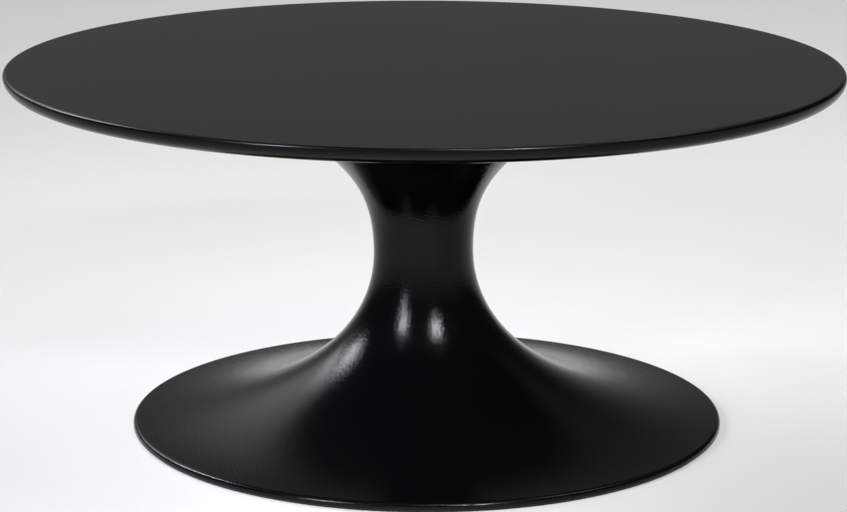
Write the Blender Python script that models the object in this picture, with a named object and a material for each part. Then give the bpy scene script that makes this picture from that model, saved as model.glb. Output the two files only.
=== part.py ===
"""Oval pedestal coffee table: a lacquered board top clamped to a cast trumpet pedestal by one tie rod.

Metres, +Z up, the floor at z = 0, the table's axis on Z and its width along X.
"""
import math

import bmesh
import bpy
from mathutils import Matrix

# The top: an oval board with a small upper corner and a long curve under its edge.
TABLE_HEIGHT = 0.400
TOP_HALF_WIDTH = 0.451
TOP_HALF_DEPTH = 0.338
TOP_THICKNESS = 0.020
TOP_CORNER = 0.003
UNDER_CURVE_WIDTH = 0.022
UNDER_CURVE_HEIGHT = 0.016
TOP_SKIN = 0.0055

# The pedestal: one oval casting, with a flare up and a flare down from a narrow waist. Its radii, and
# those of the oval pieces at its ends, are along X, and along Y they are this share of them.
DEPTH_SHARE = 0.87
WAIST_RADIUS = 0.0541
WAIST_HEIGHT = 0.1965
MOUTH_RADIUS = 0.176
MOUTH_LAND = 0.003
MOUTH_SLOPE = math.radians(42)
MOUTH_REACH = 0.111
WAIST_REACH_UP = 0.086
WAIST_REACH_DOWN = 0.096
BASE_RADIUS = 0.323
BASE_EDGE_HEIGHT = 0.0105
BASE_ROUND = 0.003
BASE_SLOPE = math.radians(4)
BASE_REACH = 0.167
WALL = 0.005
FOOT_WIDTH = 0.0235
SEAT_WIDTH = 0.014
WEB_HEIGHT = 0.150
WEB_THICKNESS = 0.010

# The plate under the top and the screws that hold it.
PLATE_THICKNESS = 0.004
PLATE_LIP = 0.008
PLATE_SCREWS = 8
PLATE_SCREW_INSET = 0.022
PLATE_SCREW_RADIUS = 0.003
PLATE_SCREW_HEAD_RADIUS = 0.0060
PLATE_SCREW_HEAD_HEIGHT = 0.0040
PLATE_SCREW_END_GAP = 0.0015
INSERT_WALL = 0.0015

# The tie rod through the waist, with its nuts and washers.
ROD_RADIUS = 0.006
ROD_TAIL = 0.008
NUT_WALL = 0.0032
COUPLING_HEIGHT = 0.036
NUT_HEIGHT = 0.010
WASHER_WALL = 0.0057
WASHER_THICKNESS = 0.0025
SPRING_WASHER_WALL = 0.004
SPRING_WASHER_THICKNESS = 0.003
SPRING_WASHER_GAP = math.radians(10)

# The ballast in the foot, the cover that carries it and the ring that stands on the floor.
BALLAST_INNER_RADIUS = 0.090
BALLAST_WIDTH = 0.080
BALLAST_BEVEL = 0.003
BALLAST_CLEARANCE = 0.003
BALLAST_BOLTS = 4
BALLAST_BOLT_RADIUS = 0.004
BALLAST_BOLT_DEPTH = 0.014
BALLAST_BOLT_HEAD_RADIUS = 0.008
COVER_THICKNESS = 0.002
COVER_OPENING_RADIUS = 0.060
COVER_SCREWS = 6
COVER_SCREW_RADIUS = 0.002
COVER_SCREW_DEPTH = 0.0036
COVER_SCREW_HEAD_RADIUS = 0.004
UNDER_HEAD_HEIGHT = 0.0022
GLIDE_HEIGHT = 0.003
GLIDE_INSET = 0.004
GLIDE_WIDTH = 0.0155

# Clearances: between pieces that touch, and between a fastener and the hole that it passes through.
FIT_GAP = 0.0003
HOLE_CLEARANCE = 0.0004
CUT_MARGIN = 0.001

# Facets round the axis, and steps along each curve of an outline.
TOP_FACETS = 80
PEDESTAL_FACETS = 56
PLATE_FACETS = 48
WASHER_FACETS = 24
SMALL_FACETS = 12
CORNER_STEPS = 3
UNDER_CURVE_STEPS = 5
OUTER_UPPER_STEPS = 7
OUTER_LOWER_STEPS = 11
INNER_UPPER_STEPS = 4
INNER_LOWER_STEPS = 6
HEX_SIDES = 6
SHARP_ANGLE = math.radians(30)

# Heights and radii that follow from the sizes above.
TOP_UNDERSIDE = TABLE_HEIGHT - TOP_THICKNESS
PLATE_TOP = TOP_UNDERSIDE - FIT_GAP
PLATE_BOTTOM = PLATE_TOP - PLATE_THICKNESS
MOUTH_HEIGHT = PLATE_BOTTOM - FIT_GAP
PLATE_RADIUS = MOUTH_RADIUS + PLATE_LIP
PLATE_SCREW_CIRCLE = MOUTH_RADIUS - PLATE_SCREW_INSET
INSERT_TOP = TABLE_HEIGHT - TOP_SKIN - FIT_GAP
INSERT_BORE = PLATE_SCREW_RADIUS + FIT_GAP
INSERT_RADIUS = INSERT_BORE + INSERT_WALL
ROD_HOLE = ROD_RADIUS + HOLE_CLEARANCE
ROD_TOP = PLATE_TOP - FIT_GAP
NUT_BORE = ROD_RADIUS + FIT_GAP
COUPLING_TOP = PLATE_BOTTOM - FIT_GAP
WEB_TOP = WEB_HEIGHT + WEB_THICKNESS
WASHER_TOP = WEB_HEIGHT - FIT_GAP
SPRING_TOP = WASHER_TOP - WASHER_THICKNESS - FIT_GAP
NUT_TOP = SPRING_TOP - SPRING_WASHER_THICKNESS - FIT_GAP
ROD_BOTTOM = NUT_TOP - NUT_HEIGHT - ROD_TAIL
FOOT_BOTTOM = GLIDE_HEIGHT + FIT_GAP
FOOT_INNER_RADIUS = BASE_RADIUS - FOOT_WIDTH
COVER_RADIUS = FOOT_INNER_RADIUS - FIT_GAP
COVER_BOTTOM = FOOT_BOTTOM + FIT_GAP
COVER_TOP = COVER_BOTTOM + COVER_THICKNESS
SEAT_HEIGHT = COVER_TOP + FIT_GAP
SEAT_INNER_RADIUS = FOOT_INNER_RADIUS - SEAT_WIDTH
COVER_SCREW_CIRCLE = FOOT_INNER_RADIUS - SEAT_WIDTH / 2
COVER_SCREW_TIP = SEAT_HEIGHT + COVER_SCREW_DEPTH
BALLAST_BOTTOM = COVER_TOP + FIT_GAP
BALLAST_OUTER_RADIUS = BALLAST_INNER_RADIUS + BALLAST_WIDTH
BALLAST_BOLT_CIRCLE = BALLAST_INNER_RADIUS + BALLAST_WIDTH / 2
BALLAST_BOLT_TIP = BALLAST_BOTTOM + BALLAST_BOLT_DEPTH
UNDER_HEAD = COVER_BOTTOM - FIT_GAP
GLIDE_RADIUS = BASE_RADIUS - GLIDE_INSET


def finish(name, colour, roughness, metallic):
    """Makes a Principled BSDF material."""
    material = bpy.data.materials.new(name)
    material.use_nodes = True
    shader = material.node_tree.nodes["Principled BSDF"]
    shader.inputs["Base Color"].default_value = (*colour, 1.0)
    shader.inputs["Roughness"].default_value = roughness
    shader.inputs["Metallic"].default_value = metallic
    material.diffuse_color = (*colour, 1.0)
    return material


def add_object(name, shape, material=None, parent=None):
    """Turns a bmesh into a smooth-shaded object with its faces outward."""
    bmesh.ops.recalc_face_normals(shape, faces=shape.faces)
    mesh = bpy.data.meshes.new(name)
    shape.to_mesh(mesh)
    shape.free()
    mesh.shade_smooth()
    mesh.set_sharp_from_angle(angle=SHARP_ANGLE)
    if material:
        mesh.materials.append(material)
    thing = bpy.data.objects.new(name, mesh)
    thing.parent = parent
    bpy.context.scene.collection.objects.link(thing)
    return thing


def turned(outline, facets, ring=False, sweep=math.tau, depth_share=1.0):
    """Spins an outline of (radius, height) points about Z, fills what is left open and sets the depth.

    An open outline gets a flat cap at each end. A ring outline closes on itself, and an arc of one
    has flat ends.
    """
    shape = bmesh.new()
    points = [shape.verts.new((r, 0.0, z)) for r, z in outline]
    pairs = list(zip(points, points[1:]))
    if ring:
        pairs.append((points[-1], points[0]))
    edges = [shape.edges.new(pair) for pair in pairs]
    full = math.isclose(sweep, math.tau)
    bmesh.ops.spin(shape, geom=points + edges, cent=(0.0, 0.0, 0.0), axis=(0.0, 0.0, 1.0),
                   angle=sweep, steps=facets, use_merge=full)
    bmesh.ops.holes_fill(shape, edges=[edge for edge in shape.edges if edge.is_boundary], sides=0)
    bmesh.ops.scale(shape, vec=(1.0, depth_share, 1.0), verts=shape.verts)
    return shape


def narrowed(shape, amount):
    """Takes the same amount off every ring of a turned shape along Y, so that its edge keeps its section."""
    for vert in shape.verts:
        vert.co.y *= 1 - amount / math.hypot(vert.co.x, vert.co.y)
    return shape


def sleeve(outer, bore, top, bottom):
    """Lists the corners of a plain ring, from its outer top edge round to its inner top edge."""
    return [(outer, top), (outer, bottom), (bore, bottom), (bore, top)]


def places(count, radius, start=0.0):
    """Lists points spread round an oval of the pedestal's shape."""
    angles = [start + math.tau * i / count for i in range(count)]
    return [(radius * math.cos(a), DEPTH_SHARE * radius * math.sin(a)) for a in angles]


def prism(shape, sides, radius, low, high, centre=(0.0, 0.0)):
    """Adds an upright prism to a bmesh."""
    place = Matrix.Translation((*centre, (low + high) / 2))
    bmesh.ops.create_cone(shape, cap_ends=True, segments=sides, radius1=radius, radius2=radius,
                          depth=high - low, matrix=place)


def drill(thing, holes):
    """Cuts round holes, each given as (centre, radius, low, high), with one hidden cutter."""
    shape = bmesh.new()
    for centre, radius, low, high in holes:
        prism(shape, SMALL_FACETS, radius, low, high, centre)
    cutter = add_object("cut_" + thing.name, shape)
    cutter.hide_render = True
    cutter.display_type = "WIRE"
    cut = thing.modifiers.new("holes", "BOOLEAN")
    cut.operation = "DIFFERENCE"
    cut.solver = "EXACT"
    cut.object = cutter


def hex_nut(name, top, height, material, parent):
    """Makes a hexagon nut for the rod."""
    shape = bmesh.new()
    flats = NUT_BORE + NUT_WALL
    prism(shape, HEX_SIDES, flats / math.cos(math.pi / HEX_SIDES), top - height, top)
    nut = add_object(name, shape, material, parent)
    drill(nut, [((0.0, 0.0), NUT_BORE, top - height - CUT_MARGIN, top + CUT_MARGIN)])


def fasteners(name, centres, shank, tip, under_head, head, head_height, material, parent):
    """Makes one upright screw at each place, its head below the face that it clamps."""
    for number, centre in enumerate(centres, 1):
        outline = [(shank, tip), (shank, under_head), (head, under_head), (head, under_head - head_height)]
        screw = add_object(f"{name}_{number}", turned(outline, SMALL_FACETS), material, parent)
        screw.location = (*centre, 0.0)


def arc(centre, width, height, start, end, steps):
    """Lists points on part of an ellipse."""
    r, z = centre
    angles = [start + (end - start) * i / steps for i in range(steps + 1)]
    return [(r + width * math.cos(a), z + height * math.sin(a)) for a in angles]


def flare(ends, wall, steps):
    """Lists points on a cubic curve with four control points, moved inward by the wall."""
    points = []
    for i in range(steps + 1):
        t = i / steps
        s = 1 - t
        r, z = (s ** 3 * a + 3 * s * s * t * b + 3 * s * t * t * c + t ** 3 * d for a, b, c, d in zip(*ends))
        dr, dz = (s * s * (b - a) + 2 * s * t * (c - b) + t * t * (d - c) for a, b, c, d in zip(*ends))
        size = math.hypot(dr, dz)
        points.append((r + wall * dz / size, z - wall * dr / size))
    return points


def crossing(curve, key, value):
    """Finds where a curve's radius (key 0) or height (key 1) has a value, or else its nearer end."""
    for p, q in zip(curve, curve[1:]):
        if min(p[key], q[key]) <= value <= max(p[key], q[key]) and p[key] != q[key]:
            t = (value - p[key]) / (q[key] - p[key])
            return (p[0] + t * (q[0] - p[0]), p[1] + t * (q[1] - p[1]))
    return min(curve[0], curve[-1], key=lambda p: abs(p[key] - value))


for old in list(bpy.data.objects):
    bpy.data.objects.remove(old)
table = bpy.data.objects.new("coffee_table", None)
bpy.context.scene.collection.objects.link(table)

LACQUER = finish("black_lacquer", (0.012, 0.012, 0.013), 0.32, 0.0)
COATING = finish("black_powder_coat", (0.010, 0.010, 0.011), 0.28, 0.0)
PLATE_PAINT = finish("black_plate_paint", (0.020, 0.020, 0.022), 0.55, 0.0)
COVER_PAINT = finish("black_cover_paint", (0.022, 0.022, 0.023), 0.60, 0.0)
SCREW_ZINC = finish("zinc_screws", (0.56, 0.57, 0.59), 0.38, 1.0)
ROD_ZINC = finish("zinc_rod", (0.50, 0.51, 0.53), 0.42, 1.0)
BRASS = finish("brass_inserts", (0.72, 0.52, 0.22), 0.35, 1.0)
IRON = finish("cast_iron", (0.060, 0.058, 0.056), 0.75, 0.4)
RUBBER = finish("black_rubber", (0.012, 0.012, 0.012), 0.85, 0.0)

# The top, with a blind hole for each threaded insert.
top_outline = arc((TOP_HALF_WIDTH - TOP_CORNER, TABLE_HEIGHT - TOP_CORNER), TOP_CORNER, TOP_CORNER,
                  math.pi / 2, 0.0, CORNER_STEPS)
top_outline += arc((TOP_HALF_WIDTH - UNDER_CURVE_WIDTH, TOP_UNDERSIDE + UNDER_CURVE_HEIGHT),
                   UNDER_CURVE_WIDTH, UNDER_CURVE_HEIGHT, 0.0, -math.pi / 2, UNDER_CURVE_STEPS)
top_shape = narrowed(turned(top_outline, TOP_FACETS), TOP_HALF_WIDTH - TOP_HALF_DEPTH)
tabletop = add_object("tabletop", top_shape, LACQUER, table)
screw_places = places(PLATE_SCREWS, PLATE_SCREW_CIRCLE, math.pi / PLATE_SCREWS)
drill(tabletop, [(p, INSERT_RADIUS + FIT_GAP, TOP_UNDERSIDE - CUT_MARGIN, INSERT_TOP + FIT_GAP)
                 for p in screw_places])
insert_outline = sleeve(INSERT_RADIUS, INSERT_BORE, INSERT_TOP, TOP_UNDERSIDE)
for number, centre in enumerate(screw_places, 1):
    insert_shape = turned(insert_outline, SMALL_FACETS, ring=True)
    insert = add_object(f"threaded_insert_{number}", insert_shape, BRASS, table)
    insert.location = (*centre, 0.0)
fasteners("plate_screw", screw_places, PLATE_SCREW_RADIUS, INSERT_TOP - PLATE_SCREW_END_GAP,
          PLATE_BOTTOM - FIT_GAP, PLATE_SCREW_HEAD_RADIUS, PLATE_SCREW_HEAD_HEIGHT, SCREW_ZINC, table)

# The mounting plate and the long nut welded under its middle.
plate_outline = [(PLATE_RADIUS, PLATE_TOP), (PLATE_RADIUS, PLATE_BOTTOM)]
plate_shape = turned(plate_outline, PLATE_FACETS, depth_share=DEPTH_SHARE)
plate = add_object("mounting_plate", plate_shape, PLATE_PAINT, table)
plate_holes = [((0.0, 0.0), ROD_HOLE)] + [(p, PLATE_SCREW_RADIUS + HOLE_CLEARANCE) for p in screw_places]
drill(plate, [(p, r, PLATE_BOTTOM - CUT_MARGIN, PLATE_TOP + CUT_MARGIN) for p, r in plate_holes])
hex_nut("coupling_nut", COUPLING_TOP, COUPLING_HEIGHT, PLATE_PAINT, table)

# The pedestal's outer and inner curves, both from the mouth down to the foot.
waist = (WAIST_RADIUS, WAIST_HEIGHT)
mouth = (MOUTH_RADIUS, MOUTH_HEIGHT - MOUTH_LAND)
foot = (BASE_RADIUS - BASE_ROUND, BASE_EDGE_HEIGHT)
upper = (mouth,
         (mouth[0] - MOUTH_REACH * math.cos(MOUTH_SLOPE), mouth[1] - MOUTH_REACH * math.sin(MOUTH_SLOPE)),
         (WAIST_RADIUS, WAIST_HEIGHT + WAIST_REACH_UP), waist)
lower = (waist, (WAIST_RADIUS, WAIST_HEIGHT - WAIST_REACH_DOWN),
         (foot[0] - BASE_REACH * math.cos(BASE_SLOPE), foot[1] + BASE_REACH * math.sin(BASE_SLOPE)), foot)
outer = flare(upper, 0.0, OUTER_UPPER_STEPS) + flare(lower, 0.0, OUTER_LOWER_STEPS)[1:]
inner_lower = flare(lower, WALL, INNER_LOWER_STEPS)
inner = flare(upper, WALL, INNER_UPPER_STEPS) + inner_lower[1:]

# One outline for the casting, from the top of its web round to the bottom: up the inside, down the
# outside, round the foot and seat, and up the inside again.
pedestal_outline = [crossing(inner, 1, WEB_TOP)]
pedestal_outline += [p for p in inner[::-1] if WEB_TOP < p[1] < MOUTH_HEIGHT]
pedestal_outline += [(crossing(inner, 1, MOUTH_HEIGHT)[0], MOUTH_HEIGHT), (MOUTH_RADIUS, MOUTH_HEIGHT)]
pedestal_outline += outer
pedestal_outline += arc((foot[0], foot[1] - BASE_ROUND), BASE_ROUND, BASE_ROUND,
                        math.pi / 2, 0.0, CORNER_STEPS)[1:]
pedestal_outline += [(BASE_RADIUS, FOOT_BOTTOM), (FOOT_INNER_RADIUS, FOOT_BOTTOM),
                     (FOOT_INNER_RADIUS, SEAT_HEIGHT), (SEAT_INNER_RADIUS, SEAT_HEIGHT)]
pedestal_outline += [crossing(inner_lower, 0, SEAT_INNER_RADIUS)]
pedestal_outline += [p for p in inner_lower[::-1] if p[1] < WEB_HEIGHT and p[0] < SEAT_INNER_RADIUS]
pedestal_outline += [crossing(inner, 1, WEB_HEIGHT)]
pedestal_shape = turned(pedestal_outline, PEDESTAL_FACETS, depth_share=DEPTH_SHARE)
pedestal = add_object("pedestal", pedestal_shape, COATING, table)
cover_places = places(COVER_SCREWS, COVER_SCREW_CIRCLE, math.pi / COVER_SCREWS)
pedestal_holes = [(p, COVER_SCREW_RADIUS + FIT_GAP, SEAT_HEIGHT - CUT_MARGIN, COVER_SCREW_TIP + FIT_GAP)
                  for p in cover_places]
drill(pedestal, pedestal_holes + [((0.0, 0.0), ROD_HOLE, WEB_HEIGHT - CUT_MARGIN, WEB_TOP + CUT_MARGIN)])

# The tie rod, and the washers and nut that pull the pedestal's web up to the plate.
rod_outline = [(ROD_RADIUS, ROD_TOP), (ROD_RADIUS, ROD_BOTTOM)]
add_object("tie_rod", turned(rod_outline, SMALL_FACETS), ROD_ZINC, table)
washer_outline = sleeve(NUT_BORE + WASHER_WALL, NUT_BORE, WASHER_TOP, WASHER_TOP - WASHER_THICKNESS)
add_object("plain_washer", turned(washer_outline, WASHER_FACETS, ring=True), ROD_ZINC, table)
spring_outline = sleeve(NUT_BORE + SPRING_WASHER_WALL, NUT_BORE,
                        SPRING_TOP, SPRING_TOP - SPRING_WASHER_THICKNESS)
spring_shape = turned(spring_outline, WASHER_FACETS, ring=True, sweep=math.tau - SPRING_WASHER_GAP)
add_object("spring_washer", spring_shape, ROD_ZINC, table)
hex_nut("rod_nut", NUT_TOP, NUT_HEIGHT, ROD_ZINC, table)

# The ballast ring, its height set by the room under the pedestal's inner curve.
ballast_top = crossing(inner_lower, 0, BALLAST_OUTER_RADIUS)[1] - BALLAST_CLEARANCE
ballast_outline = [(BALLAST_OUTER_RADIUS - BALLAST_BEVEL, ballast_top),
                   (BALLAST_OUTER_RADIUS, ballast_top - BALLAST_BEVEL),
                   (BALLAST_OUTER_RADIUS, BALLAST_BOTTOM), (BALLAST_INNER_RADIUS, BALLAST_BOTTOM),
                   (BALLAST_INNER_RADIUS, ballast_top - BALLAST_BEVEL),
                   (BALLAST_INNER_RADIUS + BALLAST_BEVEL, ballast_top)]
ballast_shape = turned(ballast_outline, PLATE_FACETS, ring=True, depth_share=DEPTH_SHARE)
ballast = add_object("ballast_ring", ballast_shape, IRON, table)
bolt_places = places(BALLAST_BOLTS, BALLAST_BOLT_CIRCLE)
drill(ballast, [(p, BALLAST_BOLT_RADIUS + FIT_GAP, BALLAST_BOTTOM - CUT_MARGIN, BALLAST_BOLT_TIP + FIT_GAP)
                for p in bolt_places])

# The cover under the foot, with its screws and the ballast's bolts.
cover_outline = sleeve(COVER_RADIUS, COVER_OPENING_RADIUS, COVER_TOP, COVER_BOTTOM)
cover_shape = turned(cover_outline, PEDESTAL_FACETS, ring=True, depth_share=DEPTH_SHARE)
cover = add_object("base_cover", cover_shape, COVER_PAINT, table)
cover_holes = [(p, COVER_SCREW_RADIUS + HOLE_CLEARANCE) for p in cover_places]
cover_holes += [(p, BALLAST_BOLT_RADIUS + HOLE_CLEARANCE) for p in bolt_places]
drill(cover, [(p, r, COVER_BOTTOM - CUT_MARGIN, COVER_TOP + CUT_MARGIN) for p, r in cover_holes])
fasteners("cover_screw", cover_places, COVER_SCREW_RADIUS, COVER_SCREW_TIP, UNDER_HEAD,
          COVER_SCREW_HEAD_RADIUS, UNDER_HEAD_HEIGHT, SCREW_ZINC, table)
fasteners("ballast_bolt", bolt_places, BALLAST_BOLT_RADIUS, BALLAST_BOLT_TIP, UNDER_HEAD,
          BALLAST_BOLT_HEAD_RADIUS, UNDER_HEAD_HEIGHT, SCREW_ZINC, table)

# The ring that the table stands on, set in from the base's edge.
glide_outline = sleeve(GLIDE_RADIUS, GLIDE_RADIUS - GLIDE_WIDTH, GLIDE_HEIGHT, 0.0)
glide_shape = turned(glide_outline, PEDESTAL_FACETS, ring=True, depth_share=DEPTH_SHARE)
add_object("glide_ring", glide_shape, RUBBER, table)
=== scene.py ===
"""Looks of an oval black pedestal coffee table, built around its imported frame.

The lacquered top, the coated pedestal and every fastener inside are remade as fine meshes that stand
for the plain solids, and each gets a procedural finish. A pale floor, a soft studio and the camera follow.
Lengths are in metres. Angles of sizes and lamps are in degrees.
"""

import logging
import math
from dataclasses import dataclass
from enum import Enum

import bmesh
import bpy
from mathutils import Matrix, Vector


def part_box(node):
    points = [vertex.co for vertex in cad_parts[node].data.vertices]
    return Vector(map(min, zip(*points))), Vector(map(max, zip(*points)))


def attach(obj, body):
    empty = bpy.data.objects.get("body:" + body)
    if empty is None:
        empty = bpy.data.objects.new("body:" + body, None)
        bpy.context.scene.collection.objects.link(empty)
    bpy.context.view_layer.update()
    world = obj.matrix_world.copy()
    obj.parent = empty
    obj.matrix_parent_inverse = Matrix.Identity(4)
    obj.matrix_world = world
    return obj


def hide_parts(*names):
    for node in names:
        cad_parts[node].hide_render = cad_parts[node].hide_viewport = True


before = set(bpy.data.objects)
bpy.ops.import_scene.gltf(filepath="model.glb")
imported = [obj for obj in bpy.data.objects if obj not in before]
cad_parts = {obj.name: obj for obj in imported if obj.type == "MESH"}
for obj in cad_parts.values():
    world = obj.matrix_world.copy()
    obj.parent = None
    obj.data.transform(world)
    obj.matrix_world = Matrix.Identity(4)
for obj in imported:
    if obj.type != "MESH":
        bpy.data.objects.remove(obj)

Point = tuple[float, float]
Limits = tuple[float, float]
Triple = tuple[float, float, float]
Colour = tuple[float, float, float]

LOG = logging.getLogger("coffee_table")
BODY = "root"
IMAGE_WIDTH = 847
SENSOR_WIDTH = 36.0
MERGE_DISTANCE = 1e-7
SHARP_ANGLE = math.radians(32)
CUT_MARGIN = 0.0008
ORIGIN: Triple = (0.0, 0.0, 0.0)
UP: Triple = (0.0, 0.0, 1.0)
AXIS: Point = (0.0, 0.0)
UNIT: Limits = (0.0, 1.0)
MIDDLE: Limits = (0.3, 0.7)

# Radii of the holes for the rod, the screws and the bolts, and the height where the ballast's holes end.
ROD_BORE = 0.0063
ROD_HOLE = 0.0064
PLATE_SCREW_HOLE = 0.0034
COVER_SCREW_HOLE = 0.0024
BOLT_HOLE = 0.0044
BALLAST_HOLE = 0.0043
BALLAST_HOLE_TOP = 0.0205


class Slot(Enum):
    """The record's material slots."""

    TOP_LACQUER = "top_lacquer"
    PEDESTAL_COAT = "pedestal_coat"
    GLIDE_RUBBER = "glide_rubber"
    BLACK_STEEL = "black_steel"
    ZINC_STEEL = "zinc_steel"
    INSERT_BRASS = "insert_brass"
    BALLAST_IRON = "ballast_iron"


class Cut(Enum):
    """The outline of a hole, a recess or a nut, by its number of sides."""

    ROUND = 32
    HEXAGON = 6


@dataclass(frozen=True)
class Grain:
    """A noise texture: cells per metre, octaves, weight of the finer ones, and factors along X, Y and Z."""

    scale: float
    detail: float
    roughness: float
    stretch: Triple = (1.0, 1.0, 1.0)


class Wiring:
    """Adds and wires value nodes in one node tree."""

    def __init__(self, tree: bpy.types.NodeTree) -> None:
        """Takes the tree to work in."""
        self.tree = tree

    def link(self, source: bpy.types.NodeSocket, target: bpy.types.NodeSocket) -> None:
        """Joins two sockets."""
        self.tree.links.new(source, target)

    def spread(self, source: bpy.types.NodeSocket, levels: Limits, limits: Limits = MIDDLE,
               soft: bool = False) -> bpy.types.NodeSocket:
        """Maps part of a value's range onto another range, and holds it there.

        Args:
            source: The value to map.
            levels: The results at the two ends of the range that is read.
            limits: The range that is read.
            soft: True for a smooth step in place of a straight one.

        Returns:
            The mapped value's socket.
        """
        node = self.tree.nodes.new("ShaderNodeMapRange")
        if soft:
            node.interpolation_type = "SMOOTHSTEP"
        for socket, value in zip(("From Min", "From Max", "To Min", "To Max"), (*limits, *levels)):
            node.inputs[socket].default_value = value
        self.link(source, node.inputs["Value"])
        return node.outputs["Result"]

    def math(self, kind: str, first: bpy.types.NodeSocket,
             second: bpy.types.NodeSocket | float) -> bpy.types.NodeSocket:
        """Adds a sum on two values.

        Args:
            kind: The operation, as the Math node names it.
            first: The first value's socket.
            second: The second value, or its socket.

        Returns:
            The result's socket.
        """
        node = self.tree.nodes.new("ShaderNodeMath")
        node.operation = kind
        self.link(first, node.inputs[0])
        if isinstance(second, bpy.types.NodeSocket):
            self.link(second, node.inputs[1])
        else:
            node.inputs[1].default_value = second
        return node.outputs["Value"]


class NodeDesk(Wiring):
    """Adds and wires shader nodes in one material."""

    def __init__(self, name: str) -> None:
        """Starts a material with a Principled BSDF and Object coordinates.

        Args:
            name: The material's name.
        """
        self.material = bpy.data.materials.new(name)
        self.material.use_nodes = True
        super().__init__(self.material.node_tree)
        self.shader = self.tree.nodes["Principled BSDF"]
        self.place = self.tree.nodes.new("ShaderNodeTexCoord").outputs["Object"]

    def noise(self, grain: Grain) -> bpy.types.NodeSocket:
        """Adds a noise texture on Object coordinates.

        Args:
            grain: The texture's settings.

        Returns:
            The noise value's socket.
        """
        mapping = self.tree.nodes.new("ShaderNodeMapping")
        mapping.inputs["Scale"].default_value = grain.stretch
        texture = self.tree.nodes.new("ShaderNodeTexNoise")
        texture.inputs["Scale"].default_value = grain.scale
        texture.inputs["Detail"].default_value = grain.detail
        texture.inputs["Roughness"].default_value = grain.roughness
        self.link(self.place, mapping.inputs["Vector"])
        self.link(mapping.outputs["Vector"], texture.inputs["Vector"])
        return texture.outputs["Fac"]

    def radius(self, depth_share: float) -> bpy.types.NodeSocket:
        """Gives the distance from the table's axis, as the half width of the oval through each point.

        Args:
            depth_share: The oval's depth over its width.

        Returns:
            The distance's socket.
        """
        flat = self.tree.nodes.new("ShaderNodeVectorMath")
        flat.operation = "MULTIPLY"
        flat.inputs[1].default_value = (1.0, 1.0 / depth_share, 0.0)
        length = self.tree.nodes.new("ShaderNodeVectorMath")
        length.operation = "LENGTH"
        self.link(self.place, flat.inputs[0])
        self.link(flat.outputs["Vector"], length.inputs[0])
        return length.outputs["Value"]

    def blend(self, factor: bpy.types.NodeSocket, first: Colour, second: Colour) -> bpy.types.NodeSocket:
        """Mixes two colours.

        Args:
            factor: Share of the second colour.
            first: Colour at 0.
            second: Colour at 1.

        Returns:
            The mixed colour's socket.
        """
        node = self.tree.nodes.new("ShaderNodeMix")
        node.data_type = "RGBA"
        ports = [port for port in node.inputs if port.type == "RGBA"]
        ports[0].default_value = (*first, 1.0)
        ports[1].default_value = (*second, 1.0)
        self.link(factor, node.inputs["Factor"])
        return next(port for port in node.outputs if port.type == "RGBA")

    def bumps(self, layers: list[tuple[bpy.types.NodeSocket, float, float]]) -> None:
        """Stacks bump layers onto the shader's normal.

        Args:
            layers: Each layer's height value, its depth in metres and its strength.
        """
        below = None
        for value, depth, strength in layers:
            node = self.tree.nodes.new("ShaderNodeBump")
            node.inputs["Distance"].default_value = depth
            node.inputs["Strength"].default_value = strength
            self.link(value, node.inputs["Height"])
            if below is not None:
                self.link(below, node.inputs["Normal"])
            below = node.outputs["Normal"]
        self.link(below, self.shader.inputs["Normal"])

    def give(self, socket: str, value: bpy.types.NodeSocket | float) -> None:
        """Sets or links one of the shader's sockets.

        Args:
            socket: The socket's name.
            value: A number, or the socket that feeds it.
        """
        if isinstance(value, bpy.types.NodeSocket):
            self.link(value, self.shader.inputs[socket])
        else:
            self.shader.inputs[socket].default_value = value


@dataclass(frozen=True)
class BlackGloss:
    """Black lacquer or coating: deep colour, fine orange peel, faint smudges and a worn edge."""

    name: str
    slot: Slot
    deep: Colour
    worn: Colour
    roughness: Limits
    peel: Grain
    peel_depth: float
    wave: Grain
    wave_depth: float
    edge_radius: float
    edge_width: float
    depth_share: float
    ior: float = 1.26
    smudges: Grain = Grain(6.0, 4.0, 0.6)
    smudge_limits: Limits = (0.32, 0.68)
    scuffs: Grain = Grain(130.0, 3.0, 0.65, (1.0, 1.0, 0.4))
    scuff_limits: Limits = (0.60, 0.80)
    scuff_dullness: float = 0.10
    fine: Grain = Grain(70.0, 3.0, 0.6)
    fine_range: Limits = (-0.008, 0.008)
    bump_strength: float = 1.0

    def make(self) -> bpy.types.Material:
        """Builds the finish's material."""
        desk = NodeDesk(self.name)
        rim = (self.edge_radius - self.edge_width, self.edge_radius)
        edge = desk.spread(desk.radius(self.depth_share), UNIT, rim)
        wear = desk.math("MULTIPLY", edge, desk.spread(desk.noise(self.scuffs), UNIT, self.scuff_limits))
        desk.give("Base Color", desk.blend(wear, self.deep, self.worn))
        rough = desk.spread(desk.noise(self.smudges), self.roughness, self.smudge_limits)
        fine = desk.spread(desk.noise(self.fine), self.fine_range)
        scuffed = desk.math("MULTIPLY", wear, self.scuff_dullness)
        desk.give("Roughness", desk.math("ADD", desk.math("ADD", rough, fine), scuffed))
        desk.give("Metallic", 0.0)
        desk.give("IOR", self.ior)
        desk.bumps([(desk.noise(self.wave), self.wave_depth, self.bump_strength),
                    (desk.noise(self.peel), self.peel_depth, self.bump_strength)])
        return desk.material


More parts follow.
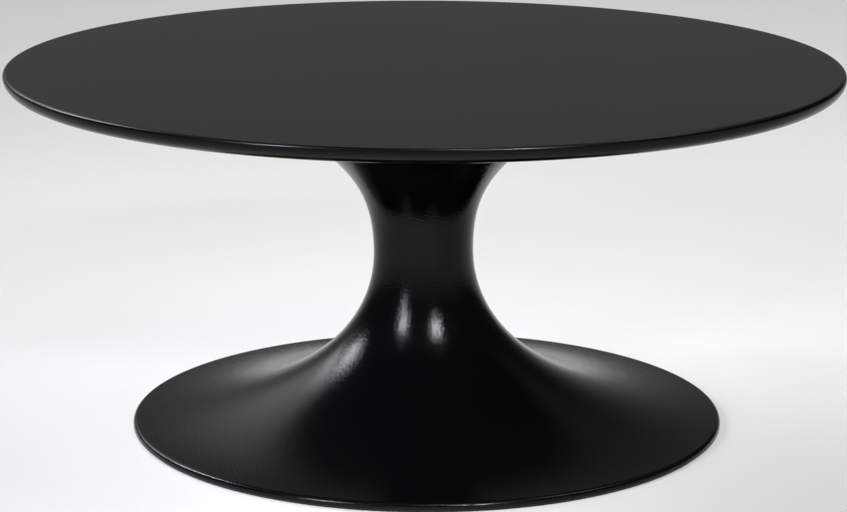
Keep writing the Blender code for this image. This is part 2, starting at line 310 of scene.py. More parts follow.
@dataclass(frozen=True)
class PlatedMetal:
    """Bright plated or bare metal with turning marks and light tarnish."""

    name: str
    slot: Slot
    bright: Colour
    dark: Colour
    roughness: Limits
    tarnish: Grain = Grain(180.0, 4.0, 0.6)
    tarnish_limits: Limits = (0.42, 0.72)
    marks: Grain = Grain(40.0, 2.0, 0.5, (1.0, 1.0, 40.0))
    mark_depth: float = 0.00002
    bump_strength: float = 0.6

    def make(self) -> bpy.types.Material:
        """Builds the finish's material."""
        desk = NodeDesk(self.name)
        tarnish = desk.spread(desk.noise(self.tarnish), UNIT, self.tarnish_limits)
        marks = desk.noise(self.marks)
        desk.give("Base Color", desk.blend(tarnish, self.bright, self.dark))
        desk.give("Metallic", 1.0)
        desk.give("Roughness", desk.spread(marks, self.roughness))
        desk.bumps([(marks, self.mark_depth, self.bump_strength)])
        return desk.material


@dataclass(frozen=True)
class RoughCast:
    """A dull surface with a grain: raw casting, moulded rubber or sprayed paint."""

    name: str
    slot: Slot
    base: Colour
    light: Colour
    roughness: Limits
    metallic: float
    grain: Grain
    grain_depth: float
    patches: Grain = Grain(25.0, 5.0, 0.65)
    patch_limits: Limits = (0.4, 0.75)
    bump_strength: float = 0.8

    def make(self) -> bpy.types.Material:
        """Builds the finish's material."""
        desk = NodeDesk(self.name)
        patches = desk.spread(desk.noise(self.patches), UNIT, self.patch_limits)
        grain = desk.noise(self.grain)
        desk.give("Base Color", desk.blend(patches, self.base, self.light))
        desk.give("Metallic", self.metallic)
        desk.give("Roughness", desk.spread(grain, self.roughness))
        desk.bumps([(grain, self.grain_depth, self.bump_strength)])
        return desk.material


Finish = BlackGloss | PlatedMetal | RoughCast


@dataclass(frozen=True)
class Hole:
    """A hole or recess cut along Z."""

    centre: Point
    radius: float
    low: float
    high: float
    cut: Cut = Cut.ROUND


def arc(centre: Point, width: float, height: float, start: float, end: float, steps: int) -> list[Point]:
    """Lists points on part of an ellipse in the radius and height plane.

    Args:
        centre: The ellipse's centre.
        width: Half width along the radius.
        height: Half height.
        start: First angle in degrees, 0 outward and 90 up.
        end: Last angle in degrees.
        steps: Number of steps.

    Returns:
        The points, ends included.
    """
    angles = [math.radians(start + (end - start) * i / steps) for i in range(steps + 1)]
    return [(centre[0] + width * math.cos(a), centre[1] + height * math.sin(a)) for a in angles]


def spun(outline: list[Point], facets: int, closed: bool) -> bmesh.types.BMesh:
    """Spins an outline about Z.

    Args:
        outline: Points of radius and height.
        facets: Steps round the axis.
        closed: True where the outline is a ring; otherwise both ends get a flat cap.

    Returns:
        A closed bmesh with its faces outward.
    """
    shape = bmesh.new()
    points = [shape.verts.new((r, 0.0, z)) for r, z in outline]
    pairs = list(zip(points, points[1:]))
    if closed:
        pairs.append((points[-1], points[0]))
    edges = [shape.edges.new(pair) for pair in pairs]
    bmesh.ops.spin(shape, geom=points + edges, cent=ORIGIN, axis=UP, angle=math.tau, steps=facets,
                   use_merge=True)
    bmesh.ops.remove_doubles(shape, verts=shape.verts, dist=MERGE_DISTANCE)
    if not closed:
        rims = [edge for edge in shape.edges if edge.is_boundary]
        bmesh.ops.holes_fill(shape, edges=rims, sides=0)
    bmesh.ops.recalc_face_normals(shape, faces=shape.faces)
    return shape


def flatten(shape: bmesh.types.BMesh, node: str) -> None:
    """Presses a round shape into the oval of its solid.

    Args:
        shape: The shape, as wide as its solid.
        node: The solid.
    """
    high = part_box(node)[1]
    bmesh.ops.scale(shape, vec=(1.0, high[1] / high[0], 1.0), verts=shape.verts)


def linked(name: str, shape: bmesh.types.BMesh) -> bpy.types.Object:
    """Turns a bmesh into an object of the scene, at the origin.

    Args:
        name: The object's name.
        shape: The bmesh, which is freed.

    Returns:
        The new object.
    """
    mesh = bpy.data.meshes.new(name)
    shape.to_mesh(mesh)
    shape.free()
    piece = bpy.data.objects.new(name, mesh)
    bpy.context.scene.collection.objects.link(piece)
    return piece


def drill(piece: bpy.types.Object, holes: list[Hole]) -> None:
    """Cuts holes into a piece and keeps only the result.

    Args:
        piece: The piece that is cut.
        holes: What is taken out of it.
    """
    shape = bmesh.new()
    for hole in holes:
        middle = (*hole.centre, (hole.low + hole.high) / 2)
        bmesh.ops.create_cone(shape, cap_ends=True, segments=hole.cut.value, radius1=hole.radius,
                              radius2=hole.radius, depth=hole.high - hole.low,
                              matrix=Matrix.Translation(middle))
    cutter = linked("cutter", shape)
    modifier = piece.modifiers.new("holes", "BOOLEAN")
    modifier.operation = "DIFFERENCE"
    modifier.solver = "EXACT"
    modifier.object = cutter
    evaluated = piece.evaluated_get(bpy.context.evaluated_depsgraph_get())
    mesh = bpy.data.meshes.new_from_object(evaluated)
    piece.modifiers.remove(modifier)
    before = piece.data
    piece.data = mesh
    bpy.data.meshes.remove(before)
    bpy.data.objects.remove(cutter)


def dress(piece: bpy.types.Object, finish: Finish, material: bpy.types.Material, *nodes: str) -> None:
    """Shades a piece, gives it its finish and puts it in the place of its solids.

    Args:
        piece: The finished mesh.
        finish: The finish, which names the record's slot; it is not used here.
        material: The finish's material.
        nodes: The solids that the piece stands for.
    """
    piece.data.shade_smooth()
    piece.data.set_sharp_from_angle(angle=SHARP_ANGLE)
    piece.data.materials.clear()
    piece.data.materials.append(material)
    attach(piece, BODY)
    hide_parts(*nodes)
    LOG.info("%s: %d faces, for %s", piece.name, len(piece.data.polygons), ", ".join(nodes))


def node_places(prefix: str) -> list[Point]:
    """Finds where the solids of a numbered set stand.

    Args:
        prefix: The set's name, without its number.

    Returns:
        The middle of each solid in X and Y, in the order of their numbers.
    """
    places = []
    while f"{prefix}_{len(places) + 1}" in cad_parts:
        low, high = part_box(f"{prefix}_{len(places) + 1}")
        places.append(((low[0] + high[0]) / 2, (low[1] + high[1]) / 2))
    return places


@dataclass
class TableTop:
    """The oval board: a small corner above, an upright land and a long curve under the edge."""

    finish: BlackGloss
    facets: int = 256
    corner: float = 0.004
    corner_steps: int = 10
    under_width: float = 0.022
    under_height: float = 0.016
    under_steps: int = 18
    support: float = 0.0015
    insert_radius: float = 0.0051
    insert_depth: float = 0.0145

    def outline(self) -> list[Point]:
        """Lists the board's outline from its upper face round to its lower face."""
        low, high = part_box("tabletop")
        radius, top, bottom = high[0], high[2], low[2]
        inside = radius - self.corner
        flat_end = radius - self.under_width
        points = [(inside - 2 * self.support, top), (inside - self.support, top)]
        points += arc((inside, top - self.corner), self.corner, self.corner, 90.0, 0.0, self.corner_steps)
        points += arc((flat_end, bottom + self.under_height), self.under_width, self.under_height,
                      0.0, -90.0, self.under_steps)
        points += [(flat_end - self.support, bottom), (flat_end - 2 * self.support, bottom)]
        return points

    def build(self, material: bpy.types.Material) -> None:
        """Models the board, drills it for the inserts and dresses it.

        Args:
            material: The lacquer.
        """
        low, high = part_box("tabletop")
        shape = spun(self.outline(), self.facets, False)
        # Each loop loses the same depth at the front, so the edge keeps its section all round.
        for vert in shape.verts:
            vert.co.y *= 1.0 - (high[0] - high[1]) / vert.co.xy.length
        board = linked("lacquered_top", shape)
        drill(board, [Hole(place, self.insert_radius, low[2] - CUT_MARGIN, low[2] + self.insert_depth)
                      for place in node_places("threaded_insert")])
        dress(board, self.finish, material, "tabletop")


@dataclass
class Pedestal:
    """The oval trumpet casting: a flare up and one down from the waist, hollow, with a web for the rod."""

    finish: BlackGloss
    facets: int = 256
    upper_steps: int = 46
    lower_steps: int = 60
    waist_radius: float = 0.0541
    waist_height: float = 0.1965
    mouth_radius: float = 0.176
    mouth_height: float = 0.3754
    mouth_land: float = 0.003
    mouth_slope: float = 42.0
    mouth_reach: float = 0.111
    waist_reach_up: float = 0.086
    waist_reach_down: float = 0.096
    base_radius: float = 0.323
    edge_height: float = 0.0105
    edge_round: float = 0.0045
    edge_steps: int = 10
    base_slope: float = 4.0
    base_reach: float = 0.167
    wall: float = 0.005
    foot_bottom: float = 0.0033
    foot_inner: float = 0.2995
    chamfer: float = 0.0006
    seat_inner: float = 0.2855
    seat_height: float = 0.0059
    web_low: float = 0.150
    web_high: float = 0.160
    screw_hole: float = 0.0023
    screw_depth: float = 0.0039

    def flare(self, ends: tuple[Point, Point, Point, Point], inset: float, steps: int) -> list[Point]:
        """Lists points on a cubic curve, moved inward.

        Args:
            ends: The curve's four control points, from the top down.
            inset: Distance towards the axis side.
            steps: Number of steps.

        Returns:
            The points, ends included.
        """
        points = []
        for i in range(steps + 1):
            t = i / steps
            s = 1 - t
            a, b, c, d = (Vector(end) for end in ends)
            spot = s ** 3 * a + 3 * s * s * t * b + 3 * s * t * t * c + t ** 3 * d
            run = (s * s * (b - a) + 2 * s * t * (c - b) + t * t * (d - c)).normalized()
            points.append((spot.x + inset * run.y, spot.y - inset * run.x))
        return points

    def side(self, inset: float) -> list[Point]:
        """Lists the pedestal's side from the mouth to the foot.

        Args:
            inset: Distance inward from the outer face.

        Returns:
            The points, from the top down.
        """
        waist = (self.waist_radius, self.waist_height)
        mouth = (self.mouth_radius, self.mouth_height - self.mouth_land)
        foot = (self.base_radius - self.edge_round, self.edge_height)
        lean, slope = math.radians(self.mouth_slope), math.radians(self.base_slope)
        mouth_pull = (mouth[0] - self.mouth_reach * math.cos(lean),
                      mouth[1] - self.mouth_reach * math.sin(lean))
        foot_pull = (foot[0] - self.base_reach * math.cos(slope),
                     foot[1] + self.base_reach * math.sin(slope))
        above = (mouth, mouth_pull, (waist[0], waist[1] + self.waist_reach_up), waist)
        below = (waist, (waist[0], waist[1] - self.waist_reach_down), foot_pull, foot)
        return self.flare(above, inset, self.upper_steps) + self.flare(below, inset, self.lower_steps)[1:]

    @staticmethod
    def crossing(curve: list[Point], key: int, value: float) -> Point:
        """Finds where a curve reaches a radius or a height.

        Args:
            curve: Points in order.
            key: 0 for the radius, 1 for the height.
            value: The value that is sought.

        Returns:
            The point on the curve.
        """
        for first, second in zip(curve, curve[1:]):
            low, high = sorted((first[key], second[key]))
            if low <= value <= high and low != high:
                share = (value - first[key]) / (second[key] - first[key])
                return (first[0] + share * (second[0] - first[0]), first[1] + share * (second[1] - first[1]))
        return curve[-1]

    def outline(self) -> list[Point]:
        """Lists the casting's section: from the web up inside, down the outside, and up to the web again."""
        outer, inner = self.side(0.0), self.side(self.wall)
        inner_lower = [point for point in inner if point[1] < self.waist_height]
        foot = outer[-1]
        points = [self.crossing(inner, 1, self.web_high)]
        points += [point for point in inner[::-1] if self.web_high < point[1] < self.mouth_height]
        points += [self.crossing(inner, 1, self.mouth_height),
                   (self.mouth_radius - self.chamfer, self.mouth_height),
                   (self.mouth_radius, self.mouth_height - self.chamfer)]
        points += outer
        points += arc((foot[0], foot[1] - self.edge_round), self.edge_round, self.edge_round,
                      90.0, 0.0, self.edge_steps)[1:]
        points += [(self.base_radius, self.foot_bottom + self.chamfer),
                   (self.base_radius - self.chamfer, self.foot_bottom),
                   (self.foot_inner, self.foot_bottom), (self.foot_inner, self.seat_height),
                   (self.seat_inner, self.seat_height), self.crossing(inner_lower, 0, self.seat_inner)]
        points += [point for point in inner_lower[::-1]
                   if point[1] < self.web_low and point[0] < self.seat_inner]
        points.append(self.crossing(inner_lower, 1, self.web_low))
        return points

    def build(self, material: bpy.types.Material) -> None:
        """Models the casting, drills it for the rod and the cover's screws, and dresses it.

        Args:
            material: The coating.
        """
        shape = spun(self.outline(), self.facets, False)
        flatten(shape, "pedestal")
        casting = linked("trumpet_pedestal", shape)
        seat = (self.seat_height - CUT_MARGIN, self.seat_height + self.screw_depth)
        holes = [Hole(place, self.screw_hole, *seat) for place in node_places("cover_screw")]
        holes.append(Hole(AXIS, ROD_HOLE, self.web_low - CUT_MARGIN, self.web_high + CUT_MARGIN))
        drill(casting, holes)
        dress(casting, self.finish, material, "pedestal")


@dataclass
class Ring:
    """A ring or disc with rounded edges, round or oval as its solid's box is, with optional holes."""

    name: str
    node: str
    finish: Finish
    bore: float
    edge: float
    facets: int = 128
    edge_steps: int = 4
    support_edges: int = 3

    def rounded(self, radius: float, height: float, start: float) -> list[Point]:
        """Lists a quarter turn round one edge, clockwise.

        Args:
            radius: Radius of the turn's centre.
            height: Height of the turn's centre.
            start: First angle in degrees.

        Returns:
            The points, ends included.
        """
        return arc((radius, height), self.edge, self.edge, start, start - 90.0, self.edge_steps)

    def outline(self) -> list[Point]:
        """Lists the section, with a support loop on the flat beside each rounded edge."""
        low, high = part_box(self.node)
        radius, top, bottom = high[0], high[2], low[2]
        bore, edge, support = self.bore, self.edge, self.support_edges * self.edge
        points = [(radius - support, top), *self.rounded(radius - edge, top - edge, 90.0)]
        points += [*self.rounded(radius - edge, bottom + edge, 0.0), (radius - support, bottom)]
        if bore > 0.0:
            points += [(bore + support, bottom), *self.rounded(bore + edge, bottom + edge, -90.0)]
            points += [*self.rounded(bore + edge, top - edge, 180.0), (bore + support, top)]
        return points

    def build(self, material: bpy.types.Material, holes: list[Hole] | None = None) -> None:
        """Models the ring, cuts its holes and dresses it.

        Args:
            material: The finish's material.
            holes: Holes to cut, if any.
        """
        shape = spun(self.outline(), self.facets, self.bore > 0.0)
        flatten(shape, self.node)
        piece = linked(self.name, shape)
        if holes:
            drill(piece, holes)
        dress(piece, self.finish, material, self.node)


@dataclass
class HexNut:
    """A hexagon nut with chamfered corners and a round bore."""

    name: str
    node: str
    finish: Finish
    bore: float = ROD_BORE
    chamfer: float = 0.0012
    face_inset: float = 0.0002
    overshoot: float = 0.0004
    bore_chamfer: float = 0.0004
    facets: int = 48
    sides: int = Cut.HEXAGON.value

    def build(self, material: bpy.types.Material) -> None:
        """Turns a chamfered ring, cuts it to its flats and dresses it.

        Args:
            material: The finish's material.
        """
        low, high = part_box(self.node)
        top, bottom = high[2], low[2]
        corner = max(high[0], high[1])
        flat = corner * math.cos(math.pi / self.sides)
        face, outer, mouth = flat - self.face_inset, corner + self.overshoot, self.bore + self.bore_chamfer
        points = [(face, top), (outer, top - self.chamfer), (outer, bottom + self.chamfer), (face, bottom),
                  (mouth, bottom), (self.bore, bottom + self.bore_chamfer),
                  (self.bore, top - self.bore_chamfer), (mouth, top)]
        shape = spun(points, self.facets, True)
        for i in range(self.sides):
            angle = math.tau * i / self.sides
            way = Vector((math.cos(angle), math.sin(angle), 0.0))
            cut = bmesh.ops.bisect_plane(shape, geom=shape.verts[:] + shape.edges[:] + shape.faces[:],
                                         dist=MERGE_DISTANCE, plane_co=way * flat, plane_no=way,
                                         clear_outer=True)
            rims = [item for item in cut["geom_cut"] if isinstance(item, bmesh.types.BMEdge)]
            bmesh.ops.holes_fill(shape, edges=rims, sides=0)
        bmesh.ops.recalc_face_normals(shape, faces=shape.faces)
        dress(linked(self.name, shape), self.finish, material, self.node)


def ridges(radius: float, top: float, bottom: float, pitch: float, depth: float) -> list[Point]:
    """Lists a thread's ridges down the side of a rod.

    Args:
        radius: Radius of the crests.
        top: Height of the first root.
        bottom: Height of the last root.
        pitch: Distance between crests, fitted to the length.
        depth: Depth of the roots.

    Returns:
        Roots and crests in turn, from the top down.
    """
    count = max(1, round((top - bottom) / pitch))
    step = (top - bottom) / count
    points = [(radius - depth, top)]
    for i in range(count):
        points += [(radius, top - (i + 0.5) * step), (radius - depth, top - (i + 1) * step)]
    return points


@dataclass
class Threaded:
    """A threaded rod: rings of ridges between two chamfered ends."""

    name: str
    node: str
    finish: Finish
    pitch: float
    depth: float
    facets: int = 24

    def build(self, material: bpy.types.Material) -> None:
        """Models the rod and dresses it.

        Args:
            material: The finish's material.
        """
        low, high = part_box(self.node)
        radius, top, bottom = high[0], high[2], low[2]
        end = radius - 2 * self.depth
        thread = ridges(radius, top - self.depth, bottom + self.depth, self.pitch, self.depth)
        shape = spun([(end, top), *thread, (end, bottom)], self.facets, False)
        dress(linked(self.name, shape), self.finish, material, self.node)


@dataclass
class Screws:
    """A set of button-head screws that point up, each with a hexagon socket in its head."""

    name: str
    node: str
    finish: Finish
    places: list[Point]
    shank: float
    head_height: float
    pitch: float
    socket: float
    socket_depth: float
    thread_share: float = 0.35
    head_edge: float = 0.0002
    side_share: float = 0.35
    flat_share: float = 0.62
    dome_steps: int = 5
    facets: int = 24

    def outline(self, tip: float, bottom: float, head: float) -> list[Point]:
        """Lists a screw's outline from its tip down to the flat of its head.

        Args:
            tip: Height of the tip.
            bottom: Height of the head's flat.
            head: The head's radius.

        Returns:
            The points, from the top down.
        """
        under = bottom + self.head_height
        side_end = under - self.side_share * self.head_height
        depth = self.thread_share * self.pitch
        points = [(self.shank - 2 * depth, tip)]
        points += ridges(self.shank, tip - depth, under, self.pitch, depth)
        points += [(head - self.head_edge, under), (head, under - self.head_edge), (head, side_end)]
        points += arc((head * self.flat_share, side_end), head * (1.0 - self.flat_share),
                      (1.0 - self.side_share) * self.head_height, 0.0, -90.0, self.dome_steps)[1:]
        return points

    def build(self, material: bpy.types.Material) -> None:
        """Models and dresses every screw of the set.

        Args:
            material: The finish's material.
        """
        for number, place in enumerate(self.places, 1):
            node = f"{self.node}_{number}"
            low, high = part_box(node)
            bottom = low[2]
            shape = spun(self.outline(high[2], bottom, (high[0] - low[0]) / 2), self.facets, False)
            bmesh.ops.translate(shape, vec=(*place, 0.0), verts=shape.verts)
            screw = linked(f"{self.name}_{number}", shape)
            drill(screw, [Hole(place, self.socket, bottom - CUT_MARGIN, bottom + self.socket_depth,
                               Cut.HEXAGON)])
            dress(screw, self.finish, material, node)


@dataclass
class Inserts:
    """Ribbed brass sleeves pressed into the board."""

    finish: Finish
    places: list[Point]
    bore: float = 0.0033
    bore_chamfer: float = 0.0003
    rib_pitch: float = 0.0020
    rib_depth: float = 0.0004
    facets: int = 24

    def build(self, material: bpy.types.Material) -> None:
        """Models and dresses every sleeve.

        Args:
            material: The brass.
        """
        for number, place in enumerate(self.places, 1):
            node = f"threaded_insert_{number}"
            low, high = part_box(node)
            radius, top, bottom = (high[0] - low[0]) / 2, high[2], low[2]
            points = ridges(radius, top, bottom, self.rib_pitch, self.rib_depth)
            points += [(self.bore + self.bore_chamfer, bottom), (self.bore, bottom + self.bore_chamfer),
                       (self.bore, top)]
            shape = spun(points, self.facets, True)
            bmesh.ops.translate(shape, vec=(*place, 0.0), verts=shape.verts)
            dress(linked(f"brass_insert_{number}", shape), self.finish, material, node)


@dataclass
class SpringWasher:
    """A split washer, its ends cut square on either side of a narrow gap."""

    finish: Finish
    bore: float = ROD_BORE
    gap: float = 10.0
    edge: float = 0.0003
    edge_segments: int = 2
    facets: int = 60

    def build(self, material: bpy.types.Material) -> None:
        """Models the washer and dresses it.

        Args:
            material: The finish's material.
        """
        low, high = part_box("spring_washer")
        radius, top, bottom = -low[0], high[2], low[2]
        corners = [(self.bore, bottom), (radius, bottom), (radius, top), (self.bore, top)]
        shape = bmesh.new()
        face = shape.faces.new([shape.verts.new((r, 0.0, z)) for r, z in corners])
        bmesh.ops.bevel(shape, geom=face.verts[:], offset=self.edge, segments=self.edge_segments,
                        profile=0.5, material=-1, affect="VERTICES")
        section = shape.verts[:] + shape.edges[:] + shape.faces[:]
        bmesh.ops.spin(shape, geom=section, cent=ORIGIN, axis=UP, angle=math.tau - math.radians(self.gap),
                       steps=self.facets)
        bmesh.ops.remove_doubles(shape, verts=shape.verts, dist=MERGE_DISTANCE)
        bmesh.ops.recalc_face_normals(shape, faces=shape.faces)
        dress(linked("split_washer", shape), self.finish, material, "spring_washer")


@dataclass(frozen=True)
class Softbox:
    """One rectangular studio lamp with a grid, which keeps its light on what it faces."""

    name: str
    azimuth: float
    elevation: float
    distance: float
    width: float
    height: float
    radiance: float
    spread: float
    aim: Triple = (0.0, 0.0, 0.2)
    colour: Colour = (1.0, 1.0, 1.0)

    def build(self) -> None:
        """Places the lamp and sets its power, so that its face has the given radiance straight ahead."""
        turn, rise = math.radians(self.azimuth), math.radians(self.elevation)
        way = Vector((math.sin(turn) * math.cos(rise), math.cos(turn) * math.cos(rise), math.sin(rise)))
        half_spread = math.radians(self.spread) / 2
        kept = 1.0 - half_spread / math.tan(half_spread)
        lamp = bpy.data.lights.new(self.name, "AREA")
        lamp.shape = "RECTANGLE"
        lamp.size, lamp.size_y = self.width, self.height
        lamp.energy = self.radiance * math.pi * self.width * self.height * kept
        lamp.spread = 2 * half_spread
        lamp.color = self.colour
        holder = bpy.data.objects.new(self.name, lamp)
        holder.location = Vector(self.aim) + way * self.distance
        holder.rotation_euler = way.to_track_quat("Z", "Y").to_euler()
        bpy.context.scene.collection.objects.link(holder)


COOL: Colour = (0.85, 0.90, 1.0)
MILD: Colour = (0.93, 0.95, 1.0)
FLARE_AIM: Triple = (0.0, -0.09, 0.12)
LEFT_AIM: Triple = (-0.15, 0.0, 0.2)
TOP_EDGE_AIM: Triple = (-0.33, -0.18, 0.39)
FOOT_EDGE_AIM: Triple = (-0.275, -0.145, 0.01)

# Each lamp's name, azimuth, elevation, distance, width, height, radiance and spread, then its aim and colour.
SOFTBOXES = (
    Softbox("front_left_strip_low", -148.5, 16.0, 4.0, 0.25, 0.90, 48.0, 22.0, FLARE_AIM, COOL),
    Softbox("front_left_strip_high", -149.0, 29.0, 4.0, 0.24, 1.20, 180.0, 18.0, FLARE_AIM, COOL),
    Softbox("front_right_strip", 156.0, 34.5, 4.0, 0.21, 1.00, 325.0, 14.0, FLARE_AIM, MILD),
    Softbox("front_top_box", 167.0, 60.0, 4.0, 0.40, 0.80, 75.0, 10.0, (0.05, -0.27, 0.25)),
    Softbox("high_left_box", -83.0, 43.0, 4.0, 1.35, 0.75, 85.0, 11.5, TOP_EDGE_AIM, MILD),
    Softbox("low_left_box", -75.0, 36.0, 4.0, 1.40, 1.20, 28.0, 35.0, LEFT_AIM, COOL),
    Softbox("left_strip", -53.0, 27.0, 4.0, 0.50, 1.30, 7.5, 32.0, LEFT_AIM, MILD),
    Softbox("left_edge_box", -72.0, 29.0, 4.0, 1.00, 0.50, 62.0, 6.0, FOOT_EDGE_AIM, MILD),
    Softbox("right_top_box", 100.0, 66.0, 3.5, 1.60, 1.60, 6.5, 44.0, (0.75, 0.1, 0.0)),
    Softbox("back_left_panel", -47.0, 30.0, 7.0, 6.60, 3.80, 2.1, 55.0),
    Softbox("overhead_box", -9.0, 75.0, 3.0, 2.40, 1.60, 3.9, 84.0, (0.0, 0.85, 0.0)),
)


@dataclass
class Studio:
    """The pale floor, the soft sky of the room, the lamps and the camera."""

    floor_radius: float = 14.0
    floor_facets: int = 64
    floor_drop: float = 0.0003
    floor_colour: Colour = (0.888, 0.88, 0.858)
    floor_shade: Colour = (0.858, 0.85, 0.829)
    floor_cloud: Grain = Grain(1.5, 3.0, 0.5)
    floor_roughness: float = 0.8
    floor_shine: float = 0.1
    floor_glow: float = 0.38
    side_light: float = 0.04
    back_light: float = 0.172
    back_turn: float = -20.0
    back_limits: Limits = (0.68, 0.93)
    low_gain: float = 1.6
    low_limits: Limits = (0.14, 0.30)
    high_light: float = 0.22
    high_limits: Limits = (0.42, 0.86)
    front_light: float = 0.45
    front_limits: Limits = (-0.80, -0.30)
    haze_limits: Limits = (0.0, 0.26)
    camera_turn: float = 9.0
    camera_distance: float = 3.3396
    camera_height: float = 1.1908
    camera_pitch: float = 16.688
    camera_roll: float = -0.789
    focal_pixels: float = 3213.0

    def floor(self) -> None:
        """Lays the floor, which stays outside the table's body."""
        shape = bmesh.new()
        bmesh.ops.create_circle(shape, cap_ends=True, segments=self.floor_facets, radius=self.floor_radius,
                                matrix=Matrix.Translation((0.0, 0.0, -self.floor_drop)))
        ground = linked("floor", shape)
        desk = NodeDesk("pale_floor")
        cloud = desk.spread(desk.noise(self.floor_cloud), UNIT)
        desk.give("Base Color", desk.blend(cloud, self.floor_colour, self.floor_shade))
        desk.give("Roughness", self.floor_roughness)
        desk.give("Specular IOR Level", self.floor_shine)
        self.brighten(desk)
        ground.data.materials.append(desk.material)

    def brighten(self, desk: NodeDesk) -> None:
        """Mixes a pale glow into the floor for the camera and for mirrored rays, so it keeps its shadows.

        Args:
            desk: The floor's material.
        """
        nodes = desk.tree.nodes
        rays = nodes.new("ShaderNodeLightPath").outputs
        seen = desk.math("MAXIMUM", rays["Is Camera Ray"], rays["Is Glossy Ray"])
        seen = desk.math("MAXIMUM", seen, rays["Is Transmission Ray"])
        glow, mix = nodes.new("ShaderNodeEmission"), nodes.new("ShaderNodeMixShader")
        glow.inputs["Strength"].default_value = 1.0
        output = next(node for node in nodes if node.type == "OUTPUT_MATERIAL")
        desk.link(desk.math("MULTIPLY", seen, self.floor_glow), mix.inputs["Fac"])
        desk.link(desk.shader.outputs["BSDF"], mix.inputs[1])
        desk.link(glow.outputs["Emission"], mix.inputs[2])
        desk.link(mix.outputs["Shader"], output.inputs["Surface"])

    def sky(self) -> None:
        """Lights the room softly: dim at the sides, a little lighter behind, overhead and low in front."""
        world = bpy.data.worlds.new("soft_room")
        world.use_nodes = True
        desk = Wiring(world.node_tree)
        way = desk.tree.nodes.new("ShaderNodeTexCoord").outputs["Generated"]
        facing = desk.tree.nodes.new("ShaderNodeVectorMath")
        facing.operation = "DOT_PRODUCT"
        turn = math.radians(self.back_turn)
        facing.inputs[1].default_value = (math.sin(turn), math.cos(turn), 0.0)
        split = desk.tree.nodes.new("ShaderNodeSeparateXYZ")
        desk.link(way, facing.inputs[0])
        desk.link(way, split.inputs["Vector"])
        ahead, height = facing.outputs["Value"], split.outputs["Z"]
        behind = desk.spread(ahead, (self.side_light, self.back_light), self.back_limits, True)
        low = desk.spread(height, (self.low_gain, 1.0), self.low_limits, True)
        above = desk.spread(height, (0.0, self.high_light), self.high_limits, True)
        front = desk.spread(ahead, (self.front_light, 0.0), self.front_limits, True)
        haze = desk.spread(height, (1.0, 0.0), self.haze_limits, True)
        lit = desk.math("ADD", desk.math("MULTIPLY", behind, low), desk.math("MULTIPLY", front, haze))
        backdrop = desk.tree.nodes["Background"]
        desk.link(desk.math("ADD", lit, above), backdrop.inputs["Strength"])
        backdrop.inputs["Color"].default_value = (1.0, 1.0, 1.0, 1.0)
        bpy.context.scene.world = world

    def camera(self) -> None:
        """Puts the camera at the picture's viewpoint."""
        lens = bpy.data.cameras.new("view")
        lens.sensor_width = SENSOR_WIDTH
        lens.sensor_fit = "HORIZONTAL"
        lens.lens = SENSOR_WIDTH * self.focal_pixels / IMAGE_WIDTH
        holder = bpy.data.objects.new("view", lens)
        turn = Matrix.Rotation(math.radians(self.camera_turn), 4, "Z")
        place = Matrix.Translation((0.0, -self.camera_distance, self.camera_height))
        tilt = Matrix.Rotation(math.radians(90.0 - self.camera_pitch), 4, "X")
        roll = Matrix.Rotation(math.radians(self.camera_roll), 4, "Z")
        holder.matrix_world = turn @ place @ tilt @ roll
        bpy.context.scene.collection.objects.link(holder)
        bpy.context.scene.camera = holder

    def build(self) -> None:
        """Sets up floor, light and camera."""
        self.floor()
        self.sky()
        for box in SOFTBOXES:
            box.build()
        self.camera()
        bpy.context.scene.view_settings.view_transform = "Standard"


def finishes() -> dict[str, Finish]:
    """Lists the table's finishes by their short names."""
    return {
        "lacquer": BlackGloss(
            "satin_black_lacquer", Slot.TOP_LACQUER, deep=(0.0018, 0.0018, 0.0020),
            worn=(0.004, 0.004, 0.004), roughness=(0.21, 0.24), peel=Grain(420.0, 2.0, 0.45),
            peel_depth=0.000001, wave=Grain(24.0, 1.0, 0.4), wave_depth=0.000003, edge_radius=0.451,
            edge_width=0.003, depth_share=0.75),
        "coating": BlackGloss(
            "orange_peel_black_coat", Slot.PEDESTAL_COAT, deep=(0.0020, 0.0020, 0.0022),
            worn=(0.005, 0.005, 0.005), roughness=(0.12, 0.15), peel=Grain(470.0, 2.0, 0.45),
            peel_depth=0.00025, wave=Grain(60.0, 1.0, 0.4), wave_depth=0.00006, edge_radius=0.323,
            edge_width=0.004, depth_share=0.87),
        "rubber": RoughCast(
            "moulded_rubber", Slot.GLIDE_RUBBER, base=(0.010, 0.010, 0.010), light=(0.018, 0.018, 0.018),
            roughness=(0.74, 0.90), metallic=0.0, grain=Grain(900.0, 4.0, 0.6), grain_depth=0.0001),
        "paint": RoughCast(
            "sprayed_black_steel", Slot.BLACK_STEEL, base=(0.012, 0.012, 0.013), light=(0.020, 0.020, 0.021),
            roughness=(0.44, 0.60), metallic=0.0, grain=Grain(1400.0, 4.0, 0.6), grain_depth=0.00008),
        "iron": RoughCast(
            "raw_cast_iron", Slot.BALLAST_IRON, base=(0.045, 0.043, 0.042), light=(0.090, 0.075, 0.065),
            roughness=(0.66, 0.82), metallic=0.6, grain=Grain(500.0, 4.0, 0.6), grain_depth=0.0006),
        "zinc": PlatedMetal(
            "bright_zinc", Slot.ZINC_STEEL, bright=(0.62, 0.63, 0.65), dark=(0.44, 0.45, 0.46),
            roughness=(0.25, 0.42)),
        "brass": PlatedMetal(
            "turned_brass", Slot.INSERT_BRASS, bright=(0.74, 0.54, 0.24), dark=(0.52, 0.36, 0.15),
            roughness=(0.23, 0.40)),
    }


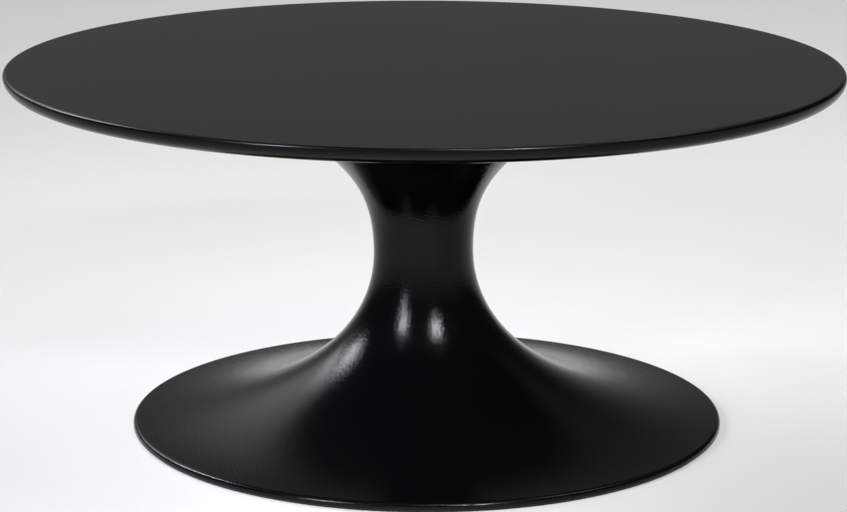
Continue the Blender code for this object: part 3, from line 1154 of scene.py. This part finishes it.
def plate_holes(node: str, sets: list[tuple[list[Point], float]]) -> list[Hole]:
    """Lists the holes right through a plate.

    Args:
        node: The plate's solid.
        sets: Places and radius of each set of holes.

    Returns:
        The holes.
    """
    low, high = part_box(node)
    return [Hole(place, radius, low[2] - CUT_MARGIN, high[2] + CUT_MARGIN)
            for places, radius in sets for place in places]


def main() -> None:
    """Builds the table's pieces in order, then the studio."""
    logging.basicConfig(level=logging.INFO, format="%(name)s: %(message)s")
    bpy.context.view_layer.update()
    kinds = finishes()
    made = {key: finish.make() for key, finish in kinds.items()}
    plate_screws, cover_screws = node_places("plate_screw"), node_places("cover_screw")
    bolts = node_places("ballast_bolt")

    TableTop(kinds["lacquer"]).build(made["lacquer"])
    Inserts(kinds["brass"], node_places("threaded_insert")).build(made["brass"])
    Pedestal(kinds["coating"]).build(made["coating"])
    Ring("steel_mounting_plate", "mounting_plate", kinds["paint"], bore=0.0, edge=0.0008).build(
        made["paint"], plate_holes("mounting_plate", [(plate_screws, PLATE_SCREW_HOLE), ([AXIS], ROD_HOLE)]))
    HexNut("long_coupling_nut", "coupling_nut", kinds["paint"]).build(made["paint"])
    Threaded("threaded_tie_rod", "tie_rod", kinds["zinc"], pitch=0.00175, depth=0.0006).build(made["zinc"])
    Ring("flat_washer", "plain_washer", kinds["zinc"], bore=ROD_BORE, edge=0.0003, facets=48).build(
        made["zinc"])
    SpringWasher(kinds["zinc"]).build(made["zinc"])
    HexNut("clamping_nut", "rod_nut", kinds["zinc"]).build(made["zinc"])
    ballast_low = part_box("ballast_ring")[0][2] - CUT_MARGIN
    Ring("iron_ballast", "ballast_ring", kinds["iron"], bore=0.090, edge=0.003).build(
        made["iron"], [Hole(place, BALLAST_HOLE, ballast_low, BALLAST_HOLE_TOP) for place in bolts])
    Ring("foot_cover", "base_cover", kinds["paint"], bore=0.060, edge=0.0004).build(
        made["paint"], plate_holes("base_cover", [(cover_screws, COVER_SCREW_HOLE), (bolts, BOLT_HOLE)]))
    Screws("plate_screw_fine", "plate_screw", kinds["zinc"], plate_screws, shank=0.003, head_height=0.0040,
           pitch=0.0010, socket=0.0020, socket_depth=0.0020).build(made["zinc"])
    Screws("cover_screw_fine", "cover_screw", kinds["zinc"], cover_screws, shank=0.002, head_height=0.0022,
           pitch=0.0007, socket=0.0014, socket_depth=0.0012).build(made["zinc"])
    Screws("ballast_bolt_fine", "ballast_bolt", kinds["zinc"], bolts, shank=0.004, head_height=0.0022,
           pitch=0.00125, socket=0.0028, socket_depth=0.0013).build(made["zinc"])
    Ring("glide_foot", "glide_ring", kinds["rubber"], bore=0.3035, edge=0.0006, facets=256).build(
        made["rubber"])
    Studio().build()


if __name__ == "__main__":
    main()
